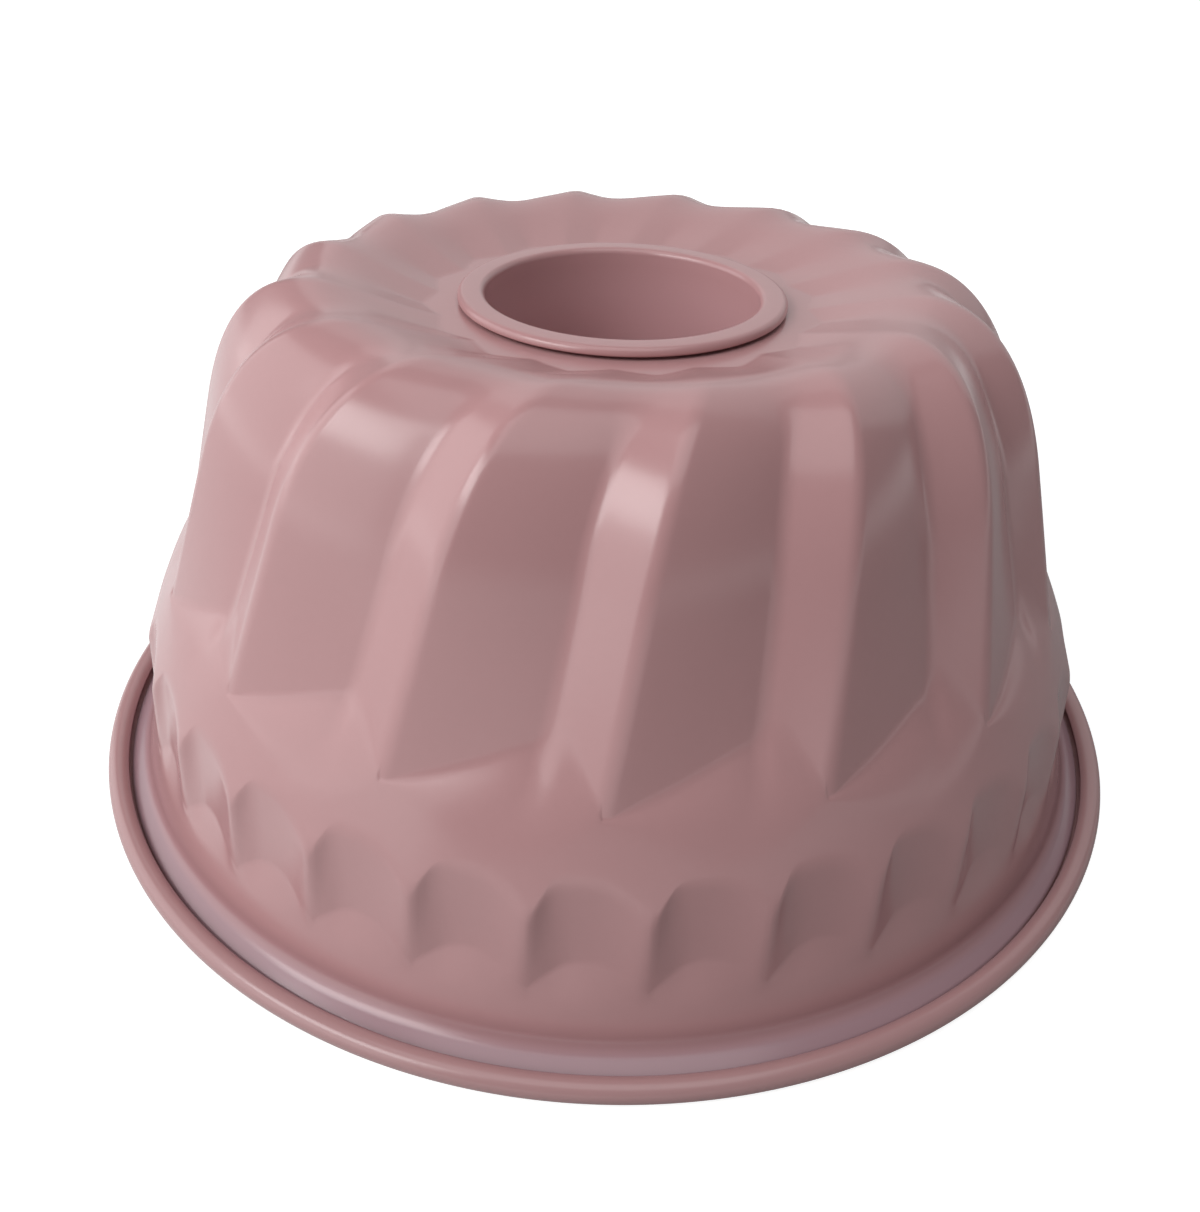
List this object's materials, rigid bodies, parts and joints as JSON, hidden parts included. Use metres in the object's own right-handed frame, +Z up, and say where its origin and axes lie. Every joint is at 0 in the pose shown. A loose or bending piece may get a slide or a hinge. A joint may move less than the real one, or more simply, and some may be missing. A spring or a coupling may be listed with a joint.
{
  "type": "fluted tube pan",
  "caption": "Round fluted baking pan with swirled flutes, a scalloped lower wall, a rolled rim and an open tapered tube in the middle, standing mouth down.",
  "frame": {"origin": "on the axis of the pan, in the plane that the rolled rim rests on", "axes": "+Z up along the axis towards the crown, -Y towards the viewer of the picture, +X to the viewer's right"},
  "size_m": [0.22, 0.22, 0.098],
  "materials": {
    "coat": "satin dusty pink baking coat on sheet steel",
    "wire": "plain drawn wire"
  },
  "bodies": {
    "root": {"pan_body": "coat", "centre_tube": "coat", "rim_wire": "wire"}
  },
  "joints": []
}
